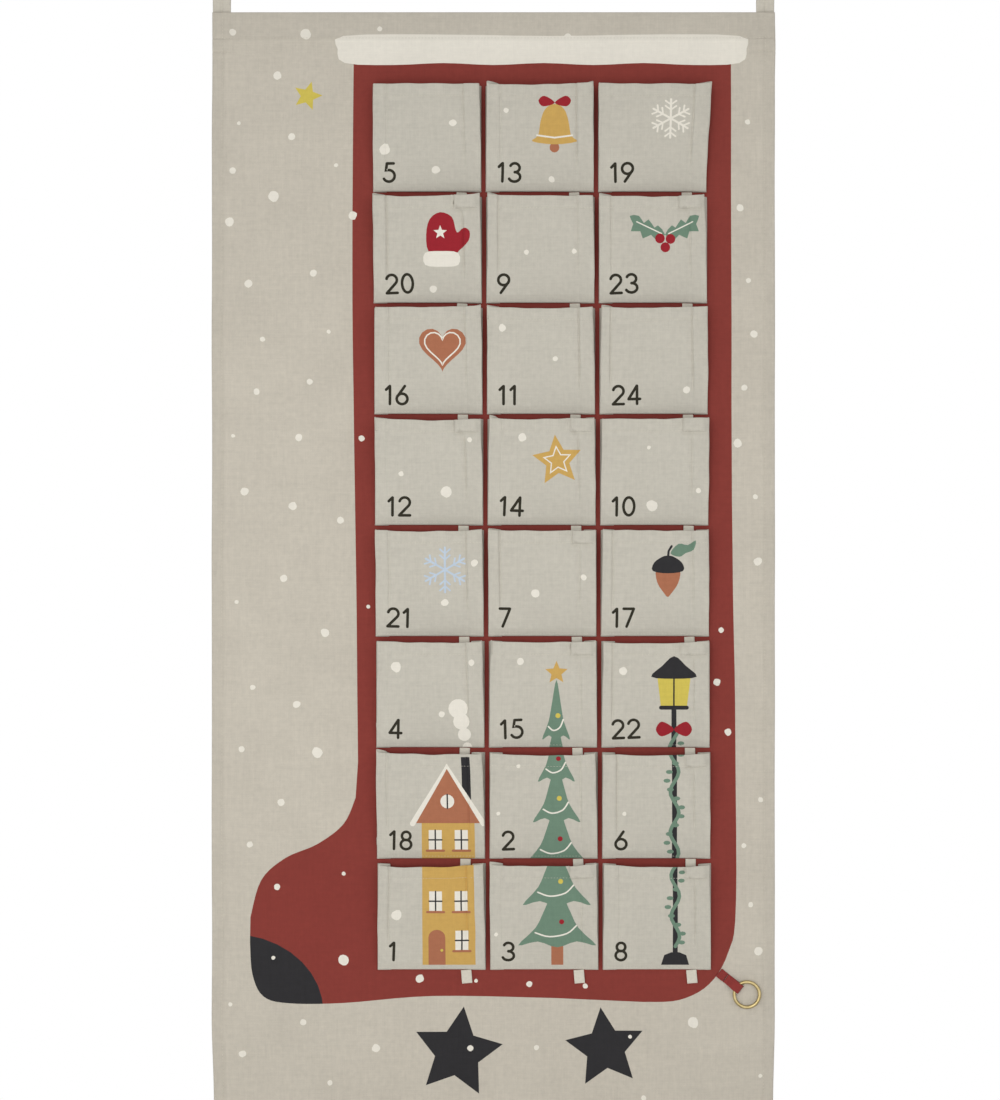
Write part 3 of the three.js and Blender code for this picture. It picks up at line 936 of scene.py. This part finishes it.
def heart(x, y):
    turns = [2 * math.pi * k / 30 for k in range(30)]
    rise = lambda t: 13 * math.cos(t) - 5 * math.cos(2 * t) - 2 * math.cos(3 * t) - math.cos(4 * t)
    shape = [(16 * math.sin(t) ** 3, rise(t)) for t in turns]
    outer = [(x + px * 1.25, y + py * 1.25) for px, py in shape]
    inner = [(x + px * 0.95, y + 0.4 + py * 0.95) for px, py in shape]
    return [([outer], "terracotta"), (pen(inner, 1.2, True), "cream")]


def snowflake(x, y, reach=19, ink="ice"):
    shapes = []
    for k in range(6):
        t = math.radians(30 + 60 * k)
        tip = lambda far, off: (
            x + far * math.cos(t) - off * math.sin(t), y + far * math.sin(t) + off * math.cos(t)
        )
        shapes.append((pen([(x, y), tip(reach, 0)], 1.7), ink))
        for far in (0.45, 0.72):
            barb = [tip(reach * (far + 0.2), 4.2), tip(reach * far, 0), tip(reach * (far + 0.2), -4.2)]
            shapes.append((pen(barb, 1.5), ink))
    return shapes


def holly(x, y):
    leaf = [
        (0, 0), (6, 8), (9, 6), (14, 13), (18, 10), (22, 16), (30, 16), (27, 9), (29, 3), (21, 3), (19, -3),
        (12, 0), (8, -4),
    ]
    other_leaf = [(-px, py) for px, py in leaf][::-1]
    return [
        *(filled(points, "green", x, y, 2) for points in (leaf, other_leaf)),
        *((pen([(x + 3 * side, y + 1), (x + 24 * side, y + 11)], 1.0), "cream") for side in (1, -1)),
        *(disc(x + px, y + py, 4.2, "crimson") for px, py in ((-4.4, -3), (4.6, -3.4), (0.2, -10.4))),
    ]


def cookie_star(x, y):
    sizes = ((22, 10.5, "ochre"), (13, 6.2, "cream"), (10.6, 5, "ochre"))
    return [([star(x, y, outer, inner, 96)], ink) for outer, inner, ink in sizes]


def acorn(x, y):
    nut = [(-10, 2), (-9, -9), (-3, -18), (0, -21), (3, -18), (9, -9), (10, 2), (0, 4)]
    cap = [(-13, 1), (-12, 8), (-5, 13), (0, 14), (5, 13), (12, 8), (13, 1), (0, -1)]
    leaf = [(2, 16), (9, 24), (17, 23), (24, 27), (22, 19), (15, 16), (10, 13)]
    parts = ((leaf, "green"), (nut, "terracotta"), (cap, "charcoal"))
    stalk = pen([(x, y + 13), (x + 0.5, y + 18), (x + 3, y + 22)], 2.0)
    return [*(filled(points, ink, x, y) for points, ink in parts), (stalk, "charcoal")]


def town_house():
    door = [(-3, 5), (-3, 33), *oval(5.5, 33, 8.5, 8, 180, 0, 8), (14, 33), (14, 5)]
    shapes = [
        ([[(32, 160), (32, 214), (41, 214), (41, 160)]], "charcoal"),
        ([[(-9, 5), (-9, 150), (44, 150), (44, 5)]], "ochre"),
        ([[(-17, 147), (17, 204), (52, 147)]], "terracotta"),
        (pen([(-18, 146.5), (17, 204.5), (53, 146.5)], 5.4), "cream"),
        disc(17, 169, 7, "cream", steps=16),
        (pen([(17, 162), (17, 176)], 1.5), "charcoal"),
        ([door], "terracotta"),
        disc(10.4, 20, 1.5, "yellow", steps=8),
    ]
    for x, low in ((24, 20), (24, 60), (-2, 60), (24, 120), (-2, 120)):
        shapes += [
            ([[(x, low), (x, low + 20), (x + 13, low + 20), (x + 13, low)]], "cream"),
            (pen([(x + 6.5, low), (x + 6.5, low + 20)], 1.5), "charcoal"),
            (pen([(x, low + 10), (x + 13, low + 10)], 1.5), "charcoal"),
            (pen([(x - 2, low - 1), (x + 15, low - 1)], 2.4), "terracotta"),
        ]
    return shapes + [disc(37 - 3 * k, 222 + 13 * k, 5 + 1.6 * k, "cream", steps=14) for k in range(4)]


def fir_tree():
    shapes = [([[(7, 5), (7, 34), (19, 34), (19, 5)]], "terracotta")]
    tiers = [(25 + 41 * k, 39 - 5 * k) for k in range(6)]
    for low, wide in tiers:
        half = [(0, 60), (wide * 0.3, 38), (wide * 0.55, 18), (wide, 0), (wide * 0.5, 4), (0, -2)]
        shapes.append(filled(half + [(-px, py) for px, py in half[-2:0:-1]], "green", 13, low))
    for k, (low, wide) in enumerate(tiers):
        line = flow([(-wide * 0.56, 13), (-wide * 0.2, 9), (wide * 0.25, 12), (wide * 0.5, 20)], steps=4)
        shapes.append((pen(at_size(line, 13, low, 1), 1.5), "cream"))
        shapes.append(disc(13 + wide * 0.12, low + 24, 2.6, ("crimson", "yellow")[k % 2], steps=10))
    return [*shapes, ([star(13, 297, 12, 5.4)], "ochre")]


def street_lamp():
    coil = [(18 + 4.4 * math.sin(k * 0.7), 24 + 4.6 * k) for k in range(47)]
    bow = [
        [(18, 240), (18 + 12 * side, 248), (18 + 18 * side, 240), (18 + 12 * side, 233)] for side in (-1, 1)
    ]
    return [
        ([[(4, 5), (7, 15), (14, 18), (22, 18), (29, 15), (32, 5)]], "charcoal"),
        ([[(15.5, 16), (15.5, 264), (20.5, 264), (20.5, 16)]], "charcoal"),
        (pen(coil, 3.6), "green"),
        *(disc(18 + 7.6 * math.sin(k * 0.9 + 1), 28 + 9 * k, 3.6, "green", 2.2, 8) for k in range(23)),
        ([[(5, 262), (1, 294), (35, 294), (31, 262)]], "yellow"),
        (pen([(5, 262), (31, 262)], 4), "charcoal"),
        (pen([(18, 262), (18, 294)], 1.6), "charcoal"),
        filled([(-5, 293), (6, 304), (18, 314), (30, 304), (41, 293), (18, 291)], "charcoal"),
        *(filled(half, "crimson", steps=4) for half in bow),
    ]


def grown(ring, x=12, y=64, by=1.18):
    """A small picture's ring, made larger about the middle of its place on the pocket."""
    return [(x + (px - x) * by, y + (py - y) * by) for px, py in ring]


pictures = {
    20: mitten(14, 62), 13: bell(14, 64), 23: holly(12, 66), 16: heart(14, 66), 14: cookie_star(15, 64),
    17: acorn(12, 64), 21: snowflake(15, 66), 19: snowflake(16, 70, 16, "cream"),
}
pictures = {day: [([grown(ring) for ring in rings], ink) for rings, ink in pictures[day]] for day in pictures}
on_front = (-54.5, 1.0, 54.5, 106.0)
for column, tall in enumerate((town_house(), fir_tree(), street_lamp())):
    for level in range(3):
        drop = 1000 * row_pitch * level
        lowered = [([at_size(ring, 0, -drop, 1) for ring in rings], ink) for rings, ink in tall]
        pictures[days[7 - level][column]] = [
            (rings, ink) for rings, ink in lowered if not apart(extent(joined(*rings)), on_front)
        ]

pleat_end = half_pocket + 2 * pleat
top_of_cloth = pocket_height - lip_round + math.pi * lip_round + mouth_hem - lip_round
bottom_of_cloth = seam_round * (1 - math.pi) - seam_tuck
cut_pocket = flat_cloth(-pleat_end, pleat_end, bottom_of_cloth, top_of_cloth, cell=0.0032)
folds = [half_pocket + s for s in (-0.0030, -0.0015, -0.0008, 0, 0.0008, 0.0015)]
folds += [half_pocket + pleat + s for s in (-0.0015, -0.0007, 0, 0.0007, 0.0015)]
folded_corner = [0.0232 + 0.0013 * k for k in range(8)]
crease(cut_pocket, 0, [s for fold in folds for s in (fold, -fold)] + folded_corner)
crease(cut_pocket, 1, [seam_round * (1 - math.pi * k / 5) for k in range(6)])
crease(cut_pocket, 1, [0.0018, seam_row, 0.0031, 0.0082, 0.0096, 0.0110, 0.0924, mouth_row, 0.0947, 0.0915])
crease(cut_pocket, 1, [pocket_height - lip_round + math.pi * lip_round * k / 5 for k in range(6)])

pocket_seam, back_seam = bmesh.new(), bmesh.new()
behind_panel = Vector((0, panel_cloth + 0.0001, 0))
for day, row, right, up in each_pocket():
    seat = pocket_back + Vector((right, 0, up))
    wear = Wear(day)
    cloth = cut_pocket.copy()
    for side, out in ((0, -1), (1, 1)):
        lean = out * wear.pleat_lean[side]
        middle = out * wear.pleat_at[side] + 0.05 * lean
        crease(cloth, 0, [middle + out * s for s in (-0.0011, -0.0004, 0.0003, 0.0012)], lean)
    inking = Print(cloth)
    taken = []
    for rings, ink in pictures.get(day, []) + drawn_number(day):
        rings = [at_size(ring) for ring in rings]
        taken.append(extent(joined(*rings)))
        inking.add(rings, ink)
    for x, drop, dot in snow:
        ring = at_size(dot, -right * 1000, -up * 1000)
        box = extent(ring)
        whole = all(box[k] > snow_from[k] and box[2 + k] < snow_to[k] for k in (0, 1))
        if whole and all(apart(box, other, snow_from_print) for other in taken):
            inking.add([ring], "cream")
    name = f"pocket_{day:02d}"
    piece = sewn(
        cloth, name + "_cloth", pocket_cloth, lambda x, y: seat + on_pocket(wear, x, y)[0],
        pocket_linen, *inks.values(), pocket_linen,
    )
    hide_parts(name)
    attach(piece, "calendar")
    for height in (seam_row, mouth_row):
        places = [on_pocket(wear, x, height) for x, _ in row_of((-0.0525, 0), (0.0525, 0), pitch=0.0031)]
        line = [(seat + point + outward * 0.00004, outward) for point, outward in places]
        stitched(pocket_seam, line, length=0.0021, thick=0.00036)
    ends = [(right + x, up + z) for x, z in sewn_round]
    for start, end in zip(ends, ends[1:]):
        stitched(back_seam, [(on_panel(x, z) + behind_panel, to_back) for x, z in row_of(start, end)])
pocket_seams = finished(pocket_seam, "pocket_seams", thread)
back_seams = finished(back_seam, "pocket_seams_behind", thread)
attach(back_seams, "calendar")
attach(pocket_seams, "calendar")


# Tape loops: a short piece of cotton tape folded in two under each pocket, its ends caught in the
# pocket's bottom seam. It hangs from the seam and swings up towards the front.
tape_width, tape_thick, tape_from_middle, hinge_offset = 0.0102, 0.00048, 0.0345, 0.0009


def twill_weave():
    """Fine slanting ribs that turn over at the middle of the tape, with worn, uneven yarns, and painted shade
    in the grooves between the ribs.
    """
    twill, given, number = woven_pattern("twill_weave", "Rib")
    split = wire(twill, "ShaderNodeSeparateXYZ", given["Cloth"]).node.outputs
    along = number("ADD", number("ABSOLUTE", split[0]), split[1])
    turns = number("DIVIDE", 2 * math.pi, given["Rib"])
    ribs = number("MULTIPLY_ADD", number("SINE", number("MULTIPLY", along, turns)), 0.5, 0.5)
    worn = wire(twill, "ShaderNodeTexNoise", given["Cloth"], sockets={"Scale": 420, "Detail": 2})
    # Painted shade: the tone is lighter on the ribs and darker in the grooves between them.
    tone = number("MULTIPLY_ADD", number("SUBTRACT", worn, 0.5), 0.8, number("MULTIPLY", ribs, 0.22))
    return finish_pattern(twill, given, number, number("SUBTRACT", tone, 0.11), ribs)


twill_group = twill_weave()


def twill_tape(name, colour, unevenness=0.3):
    """Narrow cotton tape in herringbone twill."""
    woven = {"Rib": 0.0011, "Unevenness": unevenness}
    return cloth_of(twill_group, name, colour, woven, roughness=0.88, sheen=0.1)


natural_tape = twill_tape("natural_tape", (210, 204, 190))


def path_along(points):
    """A bent line of (across, up) points: gives the point at any length along it, and that length."""
    lengths = [0.0]
    for a, b in zip(points, points[1:]):
        lengths.append(lengths[-1] + math.dist(a, b))

    def at(length):
        for k in range(len(points) - 1):
            if length <= lengths[k + 1] or k == len(points) - 2:
                t = (length - lengths[k]) / (lengths[k + 1] - lengths[k])
                return [points[k][i] + (points[k + 1][i] - points[k][i]) * t for i in (0, 1)]

    return at, lengths[-1]


def folded_tape(reach, slit, sewn_end):
    """The outer face of a tape folded in two, in millimetres: down its back, and up its bowed front."""
    thick = 0.56
    turn = (2 * thick + slit) / 2
    end, middle = reach - turn, thick - turn
    back = [(thick, 0.3), *((thick, -end * share) for share in (0, 0.33, 0.66, 1))]
    around = [math.pi * k / 10 for k in range(1, 11)]
    tip = [(middle + turn * math.cos(a), -end - turn * math.sin(a)) for a in around]
    bowed = [(slit, -end), (slit * 0.92, -end * 0.62), (slit * 0.3, -end * 0.3), (0, -sewn_end), (0, 0.3)]
    front = flow([(-thick - out, z) for out, z in bowed], steps=4)
    return [(y * 0.001, z * 0.001) for y, z in [*back, *tip, *front[1:]]]


def tape_shape(name, path, width, thick, lie, edge_wave, *materials):
    """A tape that follows its path, drawn out to its width, with slightly uneven edges."""
    at, length = path_along(path)
    cloth = flat_cloth(-width / 2, width / 2, 0, length, cell=0.0008)

    def place(x, along):
        y, z = at(along)
        return lie @ Vector((x + edge_wave * uneven(along * 90, x * 20, 1.3), y, z))

    return sewn(cloth, name, thick, place, *materials)


for day, row, right, up in each_pocket():
    pivot = hang_height + Vector((right + tape_from_middle, -hinge_offset, up - hinge_offset))
    lean = math.radians(4.5 if row == 7 else random.Random(day + 400).uniform(-2.5, 3.0))
    lie = Matrix.Translation(pivot) @ Matrix.Rotation(-lean, 4, "Y")
    path = folded_tape(reach=13.1, slit=1.4, sewn_end=2.4)
    loop = tape_shape(f"tape_loop_{day:02d}", path, tape_width, tape_thick, lie, 0.0002, natural_tape)
    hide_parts(f"pocket_loop_{day:02d}")
    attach(loop, f"loop_{day:02d}")


# Hanging loops: a strip of the panel's linen, its edges folded to the middle, looped over the rod
# and sewn down flat behind each top corner.
loop_bore, strap_half, strap_edge_row = 0.007, 0.00088, 0.0076
strap_linen = linen("strap_linen", (199, 193, 180), yarn=0.0007)


def strap_path():
    """The strap's outer face: up in front, over the crown, and down behind to its other end."""
    crown, outer = loop_rise - loop_bore, loop_bore + strap_half
    tail = [(-strap_half, -strap_tail * k / 8) for k in range(8, 0, -1)]
    leg = [(-strap_half - loop_bore * (k / 12) ** 2, crown * k / 12) for k in range(12)]
    turns = [math.pi * k / 20 for k in range(21)]
    crest = [(-outer * math.cos(t), crown + outer * math.sin(t)) for t in turns]
    rising = tail + leg
    return [*rising, *crest, *((-y, z) for y, z in rising[::-1])]


strap_seam = bmesh.new()
for side, name in ((-1, "left"), (1, "right")):
    middle = side * (half_panel - strap_from_edge)
    strap_seat = Vector((middle, 0, -loop_rise))
    strap_at, strap_length = path_along(strap_path())
    strap_cloth = flat_cloth(-strap_width / 2, strap_width / 2, 0, strap_length, cell=0.0016)
    crease(strap_cloth, 0, [-0.0007, 0, 0.0007, -0.0083, 0.0083])

    def on_strap(x, along):
        y, z = strap_at(along)
        ahead = strap_at(along + 0.0004)
        run = Vector((ahead[0] - y, ahead[1] - z)).normalized()
        outward = Vector((-run.y, run.x))
        groove = 0.0007 * beside(x, 0.0008) + 0.0003 * smooth((abs(x) - strap_edge_row) / 0.0014)
        groove -= 0.0002 * uneven(x * 120, along * 60, side)
        return strap_seat + Vector((x, y - outward.x * groove, z - outward.y * groove))

    strap = sewn(strap_cloth, f"hanging_strap_{name}", 0.0008, on_strap, strap_linen)
    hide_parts(f"hanging_loop_{name}")
    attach(strap, "calendar")
    rows = [((-strap_row_reach, -drop), (strap_row_reach, -drop), 0.00092) for drop in strap_rows]
    rows += [((x, -0.0400), (x, -0.0050), 0.0010) for x in (-strap_edge_row, strap_edge_row)]
    for start, end, back in rows:
        line = [(Vector((middle + x, back, z - loop_rise)), to_back) for x, z in row_of(start, end)]
        stitched(strap_seam, line)
strap_seams = finished(strap_seam, "strap_seams", thread)
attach(strap_seams, "calendar")


# Ring strap: red tape at the lower right. Its end is turned under and sewn to the panel at a slant,
# with a box of stitches and a thick bar at its edge, and its free part is folded round the ring.
ring_pivot, slant = hang_height + Vector((0.2325, -hinge_offset, -0.966)), math.radians(38)
ring_side = Matrix.Translation(ring_pivot) @ Matrix.Rotation(slant - math.pi / 2, 4, "Y")
strap_reach, strap_slit, red_tape_width = 18.5, 4.9, 0.0096
red_tape = twill_tape("red_tape", (138, 54, 50), 0.34)
path = folded_tape(strap_reach, strap_slit, sewn_end=2.6)
strap_loop = tape_shape("ring_strap_tape", path, red_tape_width, 0.0005, ring_side, 0.00018, red_tape)
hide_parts("ring_strap")
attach(strap_loop, "ring_strap")


def tab_path():
    """The sewn end: the tape comes up from the seam, turns under itself, and goes back down."""
    fold_height, fold_round = 0.0084, 0.0009
    turns = [math.pi * k / 8 for k in range(1, 9)]
    top = [(-0.0012, 0.0012 + 0.0072 * k / 6) for k in range(7)]
    over = [(-0.0003 - fold_round * math.cos(t), fold_height + fold_round * math.sin(t)) for t in turns]
    under = [(0.0006, fold_height - 0.0070 * k / 6) for k in range(1, 7)]
    return [*top, *over, *under]


tab = tape_shape("ring_tab_tape", tab_path(), red_tape_width, 0.00055, ring_side, 0.00025, red_tape)
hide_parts("ring_tab")
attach(tab, "calendar")
tab_seam = bmesh.new()
tab_front = ring_side.to_3x3() @ to_front
red_thread = spun_thread("red_thread", (122, 38, 38))
box = [(-0.0036, 0.0022), (0.0036, 0.0022), (0.0036, 0.0078), (-0.0036, 0.0078)]
for start, end in ((0, 1), (1, 2), (2, 3), (3, 0), (0, 2), (1, 3)):
    places = row_of(box[start], box[end], pitch=0.0019)
    line = [(ring_side @ Vector((x, -0.00122, z)), tab_front) for x, z in places]
    stitched(tab_seam, line, length=0.0015, thick=0.0004)
bar = row_of((-0.0046, 0.00078), (0.0046, 0.00078), pitch=0.00045)
line = [(ring_side @ Vector((x, 0.0009, z)), tab_front) for x, z in bar]
stitched(tab_seam, line, length=0.0012, thick=0.0009)
tab_seams = finished(tab_seam, "ring_tab_seams", red_thread)
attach(tab_seams, "calendar")


# Brass ring: bent from 3.4 mm wire and brazed, with a soft gloss and fine marks of handling. It hangs
# in the fold of its strap and swings there.
ring_radius, wire_radius = 0.0126, 0.0017
brass, metal, polish = plain_material("brass")
polish.inputs["Metallic"].default_value = 1.0
lies = metal.nodes.new("ShaderNodeTexCoord").outputs["Object"]
marks = wire(metal, "ShaderNodeTexNoise", lies, sockets={"Scale": 900, "Detail": 3, "Roughness": 0.6})
patina = wire(metal, "ShaderNodeTexNoise", lies, sockets={"Scale": 160, "Detail": 2})
tint = wire(metal, "ShaderNodeValToRGB", patina)
tones = zip(tint.node.color_ramp.elements, (0.32, 0.68), ((164, 146, 100), (186, 169, 124)))
for element, place, colour in tones:
    element.position, element.color = place, linear(*colour)
metal.links.new(tint, polish.inputs["Base Color"])
gloss = wire(metal, "ShaderNodeMapRange", marks, 0.3, 0.7, 0.34, 0.48)
metal.links.new(gloss, polish.inputs["Roughness"])
scratched = {"Strength": 0.06, "Distance": 0.0002, "Height": marks}
metal.links.new(wire(metal, "ShaderNodeBump", sockets=scratched), polish.inputs["Normal"])

upright = Matrix.Rotation(math.pi / 2, 4, "X")
ring_shape = bmesh.new()
bmesh.ops.create_circle(
    ring_shape, segments=20, radius=wire_radius, matrix=Matrix.Translation((ring_radius, 0, 0)) @ upright
)
bmesh.ops.spin(
    ring_shape, geom=ring_shape.verts[:] + ring_shape.edges[:], angle=2 * math.pi, steps=80, use_merge=True,
    axis=(0, 0, 1), cent=(0, 0, 0), use_duplicate=False,
)
bmesh.ops.remove_doubles(ring_shape, verts=ring_shape.verts[:], dist=1e-6)
bmesh.ops.recalc_face_normals(ring_shape, faces=ring_shape.faces[:])
ring_middle = Vector((0, -0.0020, -(strap_reach * 0.001 - 0.005 + ring_radius)))
lie = ring_side @ Matrix.Translation(ring_middle) @ upright
bmesh.ops.transform(ring_shape, matrix=lie, verts=ring_shape.verts[:])
ring = finished(ring_shape, "ring_wire", brass)
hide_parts("brass_ring")
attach(ring, "ring")
